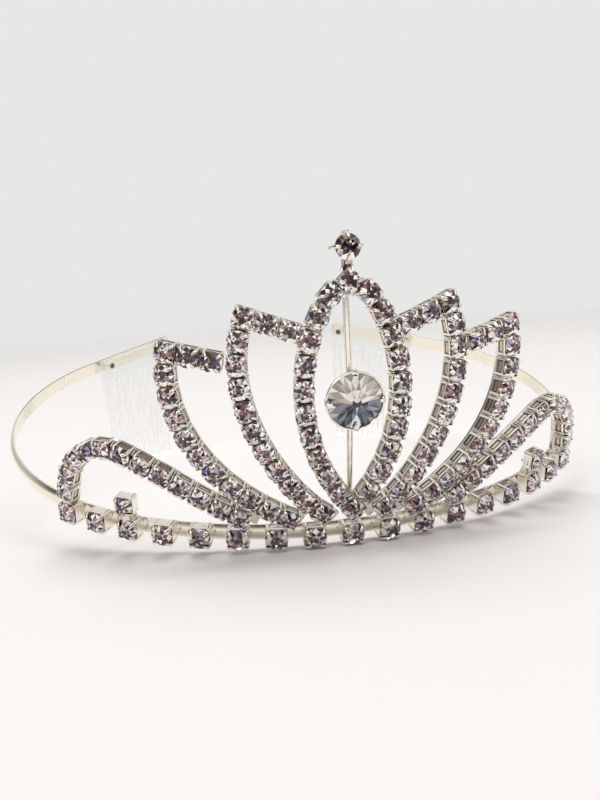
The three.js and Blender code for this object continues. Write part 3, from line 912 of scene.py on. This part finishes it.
def stem():
    depth = RIBBON_BACK - GAP - STEM_RADIUS
    points = []
    flow = []
    for step in range(STEM_STEPS + 1):
        height = lerp(STEM_FOOT, STEM_TOP, step / STEM_STEPS)
        place = sheet_frame((0, height))
        for angle in circle(STEM_SIDES):
            x, y, _ = polar(STEM_RADIUS, angle, 0)
            points.append(place @ Vector((x, 0, depth + y)))
            flow.append((height, x, y))
    obj = swept_metal("stem_rod", points, flow, STEM_SIDES, ribbon_silver, "stem_wire", smooth_under=50)
    bevel(obj, width=0.15, segments=3, angle=50)


RIVOLI_GIRDLE = 0.25
RIVOLI_CUT = Cut(
    facets=16,
    flat=0,
    heart=0.9,
    table=2.3,
    middle=3.8,
    radius=RIVOLI_RADIUS,
    crown=RIVOLI_CROWN,
    girdle=RIVOLI_GIRDLE,
    depth=RIVOLI_BACK - RIVOLI_GIRDLE,
    look=rivoli_look,
)
BEZEL_WALL = 0.3
BEZEL_FLAT = 1.3
BEZEL_FOOT_RUN = 0.25
BEZEL_FOOT_RISE = 0.12
BEZEL_SHOULDER = -0.55
BEZEL_WAIST = -0.3
BEZEL_RIM = 0.32
BEZEL_ROLL = 0.1
BEZEL_OUTER_ROLL = 0.08
BEZEL_INNER_ROLL = 0.06
BEZEL_STEPS = 72
BEZEL_CLAWS = 4
BEZEL_CLAWS = 4
BEZEL_CLAW_LINE = [
    (5.5, -1.0, 1.25, 0.36),
    (5.56, -0.3, 1.25, 0.36),
    (5.56, 0.2, 1.2, 0.36),
    (5.42, 0.62, 1.15, 0.34),
    (5.1, 0.86, 1.05, 0.32),
    (4.72, 0.96, 0.85, 0.28),
    (4.45, 1.0, 0.45, 0.2),
]


def rivoli():
    shape = Shape()
    add_stone(shape, random.Random("rivoli"), sheet_frame(RIVOLI_PLACE), RIVOLI_CUT)
    make_piece("centre_crystal", shape, clear_crystal, "rivoli_stone")


def bezel():
    place = sheet_frame(RIVOLI_PLACE)
    inner = RIVOLI_RADIUS + GAP
    outer = inner + BEZEL_WALL
    floor_level = RIBBON_BACK + GAP
    profile = [
        (0, floor_level),
        (BEZEL_FLAT, floor_level),
        (BEZEL_FLAT + BEZEL_FOOT_RUN, floor_level + BEZEL_FOOT_RISE),
        (outer - BEZEL_ROLL, BEZEL_SHOULDER),
        (outer, BEZEL_WAIST),
        (outer, BEZEL_RIM - BEZEL_ROLL),
        (outer - BEZEL_OUTER_ROLL, BEZEL_RIM),
        (inner + BEZEL_INNER_ROLL, BEZEL_RIM),
        (inner, BEZEL_RIM - BEZEL_ROLL),
        (inner, BEZEL_WAIST),
        (0, -RIVOLI_BACK - 2 * GAP),
    ]
    shape = Shape()
    points, faces = lathe(profile, BEZEL_STEPS)
    shape.add(points, faces, place)
    for angle in circle(BEZEL_CLAWS):
        add_claw(shape, place @ about_z(angle), BEZEL_CLAW_LINE)
    make_piece("centre_bezel", shape, silver, "rivoli_bezel", smooth_under=38)


# --- Band, combs and rivets ---

BAND_STEP = 2.0
BAND_CROWN = 0.66
BAND_CROWN_POWER = 1.5
BAND_ROLL = 0.16
BAND_PROFILE_STEPS = 8


def band_profile():
    """The strip's section as (level, depth): a crowned outer face and a flat inner face."""
    half = BAND_HEIGHT / 2
    outer = []
    for step in range(BAND_PROFILE_STEPS + 1):
        level = half * (1 - 2 * step / BAND_PROFILE_STEPS) * (1 - BAND_ROLL / half / 2)
        rise = BAND_CROWN * abs(level / half) ** BAND_CROWN_POWER
        outer.append((level, BAND_FRONT - rise))
    edge = BAND_FRONT - BAND_CROWN - BAND_ROLL
    bottom = [(-half, edge), (-half, BAND_BACK + BAND_ROLL), (-half + BAND_ROLL / 2, BAND_BACK)]
    return outer + with_mirror(bottom)


def band():
    profile = band_profile()
    steps = round(2 * BAND_END / BAND_STEP)
    points = []
    flow = []
    for step in range(steps + 1):
        distance = BAND_END * (2 * step / steps - 1)
        place = sheet_frame((distance, 0), upright=True)
        for level, depth in profile:
            points.append(place @ Vector((0, level, depth)))
            flow.append((distance, level, depth))
    swept_metal("headband", points, flow, len(profile), band_silver, "band", smooth_under=40)


TOOTH_LEVELS = 8
TOOTH_THICKNESS = 0.8 * COMB_THICKNESS
SPINE_TAPER = 1


def comb_tooth_reach(side, along):
    """How far below the band's middle a tooth at this place meets the table."""
    root = tail_frame(side, along) @ Vector((0, 0, COMB_MIDDLE))
    down = (STANDING @ (root + Vector((0, 0, -1))) - STANDING @ root).z
    return -(STANDING @ root).z / down


def tooth_rows(from_middle, reach):
    """The two corners at each level of a tooth, each as (across, level, thickness)."""
    rows = []
    for step in range(TOOTH_LEVELS + 1):
        share = step / TOOTH_LEVELS
        centre = from_middle * lerp(1, TOOTH_TIP_SPREAD, share)
        level = lerp(-SPINE_DROP, -reach, share)
        half = lerp(TOOTH_WIDTH, TOOTH_TIP_WIDTH, share) / 2
        thickness = lerp(TOOTH_THICKNESS, TOOTH_TIP_THICKNESS, share)
        rows.append([(centre - half, level, thickness), (centre + half, level, thickness)])
    return rows


def comb_quads(teeth):
    """The comb's middle sheet: quads down each tooth, and the spine that runs over them all."""
    quads = []
    for rows in teeth:
        for above, below in zip(rows, rows[1:]):
            quads.append([above[0], above[1], below[1], below[0]])
    roots = [corner for rows in teeth for corner in rows[0]]
    for left, right in zip(roots, roots[1:]):
        ends = (left[0], right[0])
        head = [(across, BAND_HEIGHT / 2, COMB_THICKNESS) for across in ends]
        waist = [(across, -SPINE_DROP + SPINE_TAPER, COMB_THICKNESS) for across in ends]
        quads.append([head[0], head[1], waist[1], waist[0]])
        quads.append([waist[0], waist[1], right, left])
    return quads


def thickened(quads, side):
    """The sheet as a solid: its front, its back, and a wall where only one quad has an edge."""
    corners = list(dict.fromkeys(corner for quad in quads for corner in quad))
    numbers = {corner: number for number, corner in enumerate(corners)}
    count = len(corners)
    front = [[numbers[corner] for corner in quad] for quad in quads]
    back = [[number + count for number in reversed(quad)] for quad in front]
    uses = Counter(frozenset(edge) for quad in front for edge in zip(quad, quad[1:] + quad[:1]))
    rim = [sorted(edge) for edge, times in uses.items() if times == 1]
    walls = [[a, b, b + count, a + count] for a, b in rim]
    points = [
        (side * across, level, COMB_MIDDLE + way * thickness / 2)
        for way in (1, -1)
        for across, level, thickness in corners
    ]
    return points, front + back + walls


def comb(side, name, node):
    pitch = (COMB_WIDTH - TOOTH_WIDTH) / (TEETH - 1)
    middle = COMB_START + COMB_WIDTH / 2
    teeth = []
    for index in range(TEETH):
        from_middle = (index - (TEETH - 1) / 2) * pitch
        reach = comb_tooth_reach(side, middle + from_middle * TOOTH_TIP_SPREAD)
        teeth.append(tooth_rows(from_middle, reach))
    points, faces = thickened(comb_quads(teeth), side)
    shape = Shape()
    shape.add(points, faces, tail_frame(side, middle))
    obj = make_piece(name, shape, plastic, node, smooth_under=40)
    bevel(obj, width=0.26, segments=3, angle=50)


RIVET_SHAFT = 0.42
RIVET_HEAD = 0.84
RIVET_RISE = 0.45
RIVET_STEPS = 28
RIVET_ARC = 6


def rivet_tone(points, face):
    """The shaft between the heads is bright and the heads are dark."""
    radii = [math.hypot(points[corner][0], points[corner][1]) for corner in face]
    return 1.0 if all(abs(radius - RIVET_SHAFT) < WELD for radius in radii) else 0.0


def rivet(side, along, name):
    outside = BAND_FRONT + GAP
    inside = COMB_BACK - GAP
    angles = [math.pi / 2 * step / RIVET_ARC for step in range(RIVET_ARC + 1)]
    dome = [(RIVET_HEAD * math.cos(angle), RIVET_RISE * math.sin(angle)) for angle in angles]
    outer = [(radius, outside + rise) for radius, rise in dome]
    inner = [(radius, inside - rise) for radius, rise in reversed(dome)]
    shaft = [(RIVET_SHAFT, inside), (RIVET_SHAFT, outside)]
    shape = Shape()
    points, faces = lathe(inner + shaft + outer, RIVET_STEPS)
    tones = [rivet_tone(points, face) for face in faces]
    shape.add(points, faces, tail_frame(side, along), tones=tones)
    make_piece(name, shape, rivet_steel, f"comb_{name}", smooth_under=50)


def combs():
    ends = {"near": COMB_START + RIVET_INSET, "far": COMB_START + COMB_WIDTH - RIVET_INSET}
    for word, side in (("right", 1), ("left", -1)):
        comb(side, f"clear_comb_{word}", f"comb_{word}")
        for end, along in ends.items():
            rivet(side, along, f"rivet_{word}_{end}")


# --- Materials ---


class Nodes:
    """The node tree of a material or world, with short calls that add and join nodes."""

    def __init__(self, owner):
        owner.use_nodes = True
        self.owner = owner
        self.tree = owner.node_tree
        self.tree.nodes.clear()

    def add(self, kind, inputs=None, **settings):
        node = self.tree.nodes.new(f"ShaderNode{kind}")
        for key, value in settings.items():
            setattr(node, key, value)
        for key, value in (inputs or {}).items():
            socket = node.inputs[key]
            if isinstance(value, bpy.types.NodeSocket):
                self.tree.links.new(value, socket)
            else:
                socket.default_value = value
        return node

    def coordinates(self, kind="Object"):
        return self.add("TexCoord").outputs[kind]

    def attribute(self, name, output):
        return self.add("Attribute", attribute_name=name).outputs[output]

    def noise(self, where, scale, detail):
        node = self.add("TexNoise", {"Vector": where, "Scale": scale, "Detail": detail})
        return node.outputs["Fac"]

    def stretched(self, where, shares):
        node = self.add("VectorMath", {0: where, 1: shares}, operation="MULTIPLY")
        return node.outputs[0]

    def bump(self, height, strength, distance):
        inputs = {"Height": height, "Strength": strength, "Distance": distance}
        return self.add("Bump", inputs).outputs["Normal"]

    def ramp(self, fac, stops, interpolation="LINEAR"):
        node = self.add("ValToRGB", {"Fac": fac})
        ramp = node.color_ramp
        ramp.interpolation = interpolation
        while len(ramp.elements) < len(stops):
            ramp.elements.new(1)
        for element, (position, color) in zip(ramp.elements, stops):
            element.position = position
            element.color = (*color, 1)
        return node.outputs["Color"]

    def soft_step(self, value, edge, lowest=0.0):
        """Rises smoothly from its lowest at one end of the edge to 1 at the other."""
        inputs = {"Value": value, "From Min": edge[0], "From Max": edge[1], "To Min": lowest}
        return self.add("MapRange", inputs, interpolation_type="SMOOTHSTEP").outputs[0]

    def math(self, operation, a, b):
        return self.add("Math", {0: a, 1: b}, operation=operation).outputs[0]

    def mix(self, fac, a, b, blend="MIX"):
        inputs = {0: fac, 6: a, 7: b}
        return self.add("Mix", inputs, data_type="RGBA", blend_type=blend).outputs[2]

    def mix_shaders(self, fac, a, b):
        inputs = {0: fac, 1: a.outputs[0], 2: b.outputs[0]}
        return self.add("MixShader", inputs)

    def finish(self, shader, kind="OutputMaterial"):
        self.add(kind, {"Surface": shader.outputs[0]})
        return self.owner


BLOOM_SCALE = 420
SCRATCH_SCALE = 2600
BRUSH_SHARES = (0.25, 14, 14)
BRUSH_SCALE = 1.6
BRUSH_STRENGTH = 0.12
SCRATCH_STRENGTH = 0.04
SCRATCH_DEPTH = 0.05 * MM
CORNER_REACH = 0.7 * MM
# Painted shade: darker tones for the plate's corners and for the sunk parts of cup walls.
CORNER_SHADE_TONES = [(0.1, (0.46, 0.4, 0.33)), (0.6, (1, 1, 1))]
RECESS_SHADE_TONES = [(0.0, (0.26, 0.2, 0.18)), (0.5, (0.62, 0.56, 0.52)), (1.0, (1, 1, 1))]


def silver_material(name, warm, pale, brushed, rough_range, shaded=True):
    """Bright plate with a faint warm bloom and fine scratches, and painted shade on sunk faces of low
    tone. A shaded one also has painted shade darkening its corners.
    """
    nodes = Nodes(bpy.data.materials.new(name))
    where = nodes.coordinates()
    bloom = nodes.noise(where, BLOOM_SCALE, 3)
    color = nodes.ramp(bloom, [(0.3, warm), (0.7, pale)])
    # Painted shade: faces with a low tone, the sunk moats of cup walls, are darkened.
    recess = nodes.ramp(nodes.attribute("tone", "Fac"), RECESS_SHADE_TONES)
    color = nodes.mix(1.0, color, recess, "MULTIPLY")
    if shaded:
        # Painted shade: ambient occlusion darkens the colour in corners and crevices.
        near = nodes.add("AmbientOcclusion", {"Distance": CORNER_REACH}, samples=6)
        shade = nodes.ramp(near.outputs["AO"], CORNER_SHADE_TONES)
        color = nodes.mix(1.0, color, shade, "MULTIPLY")
    low, high = rough_range
    rough = nodes.add("MapRange", {"Value": bloom, "To Min": low, "To Max": high})
    if brushed:
        grain = nodes.stretched(nodes.attribute("flow", "Vector"), BRUSH_SHARES)
        bump = nodes.bump(nodes.noise(grain, BRUSH_SCALE, 4), BRUSH_STRENGTH, SCRATCH_DEPTH)
    else:
        bump = nodes.bump(nodes.noise(where, SCRATCH_SCALE, 2), SCRATCH_STRENGTH, SCRATCH_DEPTH)
    surface = nodes.add(
        "BsdfPrincipled",
        {"Base Color": color, "Metallic": 1.0, "Roughness": rough.outputs[0], "Normal": bump},
    )
    return nodes.finish(surface)


def crystal_material(name, stops):
    """Foiled cut crystal: the foil's light comes back tinted and leaning, a clear polish over it."""
    nodes = Nodes(bpy.data.materials.new(name))
    surface = nodes.add(
        "BsdfPrincipled",
        {
            "Base Color": nodes.ramp(nodes.attribute("tone", "Fac"), stops, "CONSTANT"),
            "Metallic": 1.0,
            "Roughness": 0.04,
            "Normal": nodes.attribute("shine", "Vector"),
            "Coat Weight": 1.0,
            "Coat IOR": 1.6,
            "Coat Roughness": 0.02,
            "Coat Normal": nodes.add("NewGeometry").outputs["True Normal"],
        },
    )
    return nodes.finish(surface)


FLOW_LINE_SHARES = (1, 1, 0.15)
FLOW_LINE_SCALE = 900
FLOW_LINE_DEPTH = 0.1 * MM
FLOW_LINE_STRENGTH = 0.05
RIVET_WEAR_SCALE = 1500
RIVET_WEAR = [(0.35, (0.1, 0.09, 0.085)), (0.7, (0.32, 0.3, 0.27))]
RIVET_SHAFT_TONE = (0.9, 0.87, 0.8, 1)


def plastic_material():
    """Clear moulded plastic with faint flow lines, which lets most lamp light through."""
    nodes = Nodes(bpy.data.materials.new("clear_moulded_plastic"))
    along = nodes.stretched(nodes.coordinates(), FLOW_LINE_SHARES)
    lines = nodes.noise(along, FLOW_LINE_SCALE, 2)
    surface = nodes.add(
        "BsdfPrincipled",
        {
            "Base Color": (0.965, 0.975, 0.97, 1),
            "Roughness": 0.3,
            "IOR": 1.2,
            "Transmission Weight": 0.96,
            "Normal": nodes.bump(lines, FLOW_LINE_STRENGTH, FLOW_LINE_DEPTH),
        },
    )
    clear = nodes.add("BsdfTransparent", {"Color": (0.9, 0.9, 0.9, 1)})
    shadow = nodes.add("LightPath").outputs["Is Shadow Ray"]
    return nodes.finish(nodes.mix_shaders(shadow, surface, clear))


def rivet_material():
    nodes = Nodes(bpy.data.materials.new("darkened_rivet_steel"))
    color = nodes.ramp(nodes.noise(nodes.coordinates(), RIVET_WEAR_SCALE, 4), RIVET_WEAR)
    color = nodes.mix(nodes.attribute("tone", "Fac"), color, RIVET_SHAFT_TONE)
    inputs = {"Base Color": color, "Metallic": 1.0, "Roughness": 0.35}
    return nodes.finish(nodes.add("BsdfPrincipled", inputs))


CRYSTAL_TONES = [
    (0.0, (0.018, 0.014, 0.028)),
    (0.19, (0.08, 0.052, 0.07)),
    (0.34, (0.27, 0.14, 0.125)),
    (0.45, (0.44, 0.3, 0.27)),
    (0.54, (0.43, 0.38, 0.43)),
    (0.66, (0.82, 0.75, 0.72)),
    (0.8, (0.99, 0.96, 0.92)),
    (0.95, (0.3, 0.34, 0.72)),
    (0.975, (0.3, 0.58, 0.63)),
]
CLEAR_TONES = [
    (0.0, (0.035, 0.04, 0.06)),
    (0.1, (0.09, 0.1, 0.135)),
    (0.22, (0.19, 0.21, 0.26)),
    (0.36, (0.31, 0.32, 0.35)),
    (0.48, (0.36, 0.31, 0.27)),
    (0.6, (0.52, 0.49, 0.44)),
    (0.72, (0.86, 0.84, 0.78)),
    (0.98, (0.88, 0.94, 1.0)),
]

WARM_SILVER = (0.93, 0.88, 0.79)
PALE_SILVER = (0.95, 0.93, 0.88)
WARM_BAND = (0.9, 0.84, 0.69)
PALE_BAND = (0.93, 0.89, 0.78)
silver = silver_material("silver_plated_cups", WARM_SILVER, PALE_SILVER, False, (0.14, 0.26))
ribbon_silver = silver_material("silver_plated_ribbon", WARM_SILVER, PALE_SILVER, True, (0.08, 0.18))
band_silver = silver_material(
    "silver_plated_band", WARM_BAND, PALE_BAND, True, (0.1, 0.22), shaded=False
)
crystal = crystal_material("cut_crystal", CRYSTAL_TONES)
clear_crystal = crystal_material("clear_cut_crystal", CLEAR_TONES)
plastic = plastic_material()
rivet_steel = rivet_material()

# --- The tiara ---

band()
base_row()
mandorla()
petals("inner", INNER_TOP, INNER_SIDE)
petals("outer", OUTER_TOP, OUTER_SIDE)
side_loops()
finial()
accents()
stem()
rivoli()
bezel()
combs()

# --- Stage, light and camera ---

FLOOR_RADIUS = 2.0
FLOOR_SIDES = 64
FLOOR_FADE = (0.3, 0.9)
FLOOR_TONE = (0.86, 0.845, 0.84, 1)
WEAVE_SCALE = 260
WEAVE_DEPTH = 0.2 * MM
WEAVE_STRENGTH = 0.08


def floor_material():
    """Matt pale cloth that fades out into the pale surroundings far from the tiara."""
    nodes = Nodes(bpy.data.materials.new("pale_floor"))
    where = nodes.coordinates()
    weave = nodes.add("TexWave", {"Vector": where, "Scale": WEAVE_SCALE, "Distortion": 0.4})
    bump = nodes.bump(weave.outputs["Fac"], WEAVE_STRENGTH, WEAVE_DEPTH)
    cloth = nodes.add("BsdfDiffuse", {"Color": FLOOR_TONE, "Normal": bump})
    clear = nodes.add("BsdfTransparent")
    away = nodes.add("VectorMath", {0: where}, operation="LENGTH").outputs["Value"]
    return nodes.finish(nodes.mix_shaders(nodes.soft_step(away, FLOOR_FADE), cloth, clear))


def floor():
    mesh = bpy.data.meshes.new("floor")
    ring = [polar(FLOOR_RADIUS, angle, 0) for angle in circle(FLOOR_SIDES)]
    mesh.from_pydata(ring, [], [list(range(FLOOR_SIDES))])
    mesh.materials.append(floor_material())
    scene_object("floor", mesh)


# The dim room ahead of the tiara, to the wearer's right, from the horizon up to ROOM_TOP.
ROOM_ASIDE = -0.6
ROOM_SIDES = (-0.4, 0.45)
ROOM_LEAST = 0.1
ROOM_TOP = (0.9, 0.7)
ROOM_FOOT = (-0.02, 0.12)
ROOM_PATCH_SCALE = 4.0
ROOM_TONES = [
    (0.0, (0.035, 0.02, 0.028)),
    (0.35, (0.1, 0.065, 0.08)),
    (0.6, (0.22, 0.15, 0.16)),
    (0.8, (0.42, 0.33, 0.31)),
    (0.93, (0.9, 0.88, 0.86)),
]
SKY_TONES = [(0.0, (0.5, 0.5, 0.49)), (0.8, (0.9, 0.885, 0.85))]

# High behind the tiara's left, where the walls on top of the right-hand side loop look.
DARK_CORNER = (0.32, 0.53, 0.785)
DARK_CORNER_EDGE = (0.958, 0.985)
DARK_CORNER_TONE = (0.12, 0.07, 0.06, 1)
BACKDROP_TONE = (0.8, 0.8, 0.79, 1)


def world():
    """Pale all round to the eye. Reflections also see a dim room in front of the tiara."""
    nodes = Nodes(bpy.data.worlds.new("studio"))
    direction = nodes.coordinates("Generated")
    parts = nodes.add("SeparateXYZ", {0: direction}).outputs
    ahead = nodes.math("MULTIPLY", parts["Y"], -1.0)
    ahead = nodes.math("ADD", ahead, nodes.math("MULTIPLY", parts["X"], ROOM_ASIDE))
    facing = nodes.soft_step(ahead, ROOM_SIDES, ROOM_LEAST)
    room_share = nodes.math("MULTIPLY", facing, nodes.soft_step(parts["Z"], ROOM_TOP))
    room_share = nodes.math("MULTIPLY", room_share, nodes.soft_step(parts["Z"], ROOM_FOOT))
    patches = nodes.add("TexVoronoi", {"Vector": direction, "Scale": ROOM_PATCH_SCALE})
    patch = nodes.add("SeparateColor", {0: patches.outputs["Color"]}).outputs[0]
    room = nodes.ramp(patch, ROOM_TONES, "CONSTANT")
    seen = nodes.mix(room_share, nodes.ramp(parts["Z"], SKY_TONES), room)
    towards = nodes.add("VectorMath", {0: direction, 1: DARK_CORNER}, operation="DOT_PRODUCT")
    corner = nodes.soft_step(towards.outputs["Value"], DARK_CORNER_EDGE)
    seen = nodes.mix(corner, seen, DARK_CORNER_TONE)
    path = nodes.add("LightPath").outputs
    to_the_eye = nodes.math("MAXIMUM", path["Is Camera Ray"], path["Is Transmission Ray"])
    color = nodes.mix(to_the_eye, seen, BACKDROP_TONE)
    background = nodes.add("Background", {"Color": color, "Strength": 1.0})
    bpy.context.scene.world = nodes.finish(background, "OutputWorld")


LAMP_AIM = Vector((0, -0.02, 0.03))


def lamp(name, place, size, power, mirrored=True):
    """A soft lamp aimed at the tiara. One that isn't mirrored leaves no glare on polished faces."""
    light = bpy.data.lights.new(name, "AREA")
    light.shape = "RECTANGLE"
    light.size, light.size_y = size
    light.energy = power
    obj = scene_object(name, light)
    obj.visible_glossy = mirrored
    obj.location = place
    obj.rotation_euler = (LAMP_AIM - obj.location).to_track_quat("-Z", "Y").to_euler()


def lights():
    lamp("key", place=(-0.5, -0.4, 0.6), size=(0.35, 0.35), power=1.1)
    lamp("fill", place=(0.55, -0.5, 0.35), size=(0.25, 0.25), power=0.5)
    lamp("sparkle", place=(0.12, -0.55, 0.75), size=(0.42, 0.42), power=0.6)
    lamp("top", place=(0.0, 0.2, 0.92), size=(0.75, 0.65), power=4.1, mirrored=False)


CAMERA_PLACE = Vector((-42.32, -231.95, 53.09)) * MM
CAMERA_AZIMUTH = math.radians(-10.94)
CAMERA_ELEVATION = math.radians(7.62)
CAMERA_ROLL = math.radians(-3.89)
CAMERA_LENS = 56.65
CAMERA_SENSOR = 36
CAMERA_CLIP = (0.01, 20)


def camera():
    data = bpy.data.cameras.new("camera")
    data.sensor_fit = "HORIZONTAL"
    data.sensor_width = CAMERA_SENSOR
    data.lens = CAMERA_LENS
    data.clip_start, data.clip_end = CAMERA_CLIP
    upward = Matrix.Rotation(math.pi / 2 - CAMERA_ELEVATION, 4, "X")
    turn = about_z(CAMERA_AZIMUTH) @ upward @ about_z(CAMERA_ROLL)
    obj = scene_object("camera", data)
    obj.matrix_world = Matrix.Translation(CAMERA_PLACE) @ turn
    bpy.context.scene.camera = obj


floor()
world()
lights()
camera()
bpy.context.scene.view_settings.view_transform = "Standard"
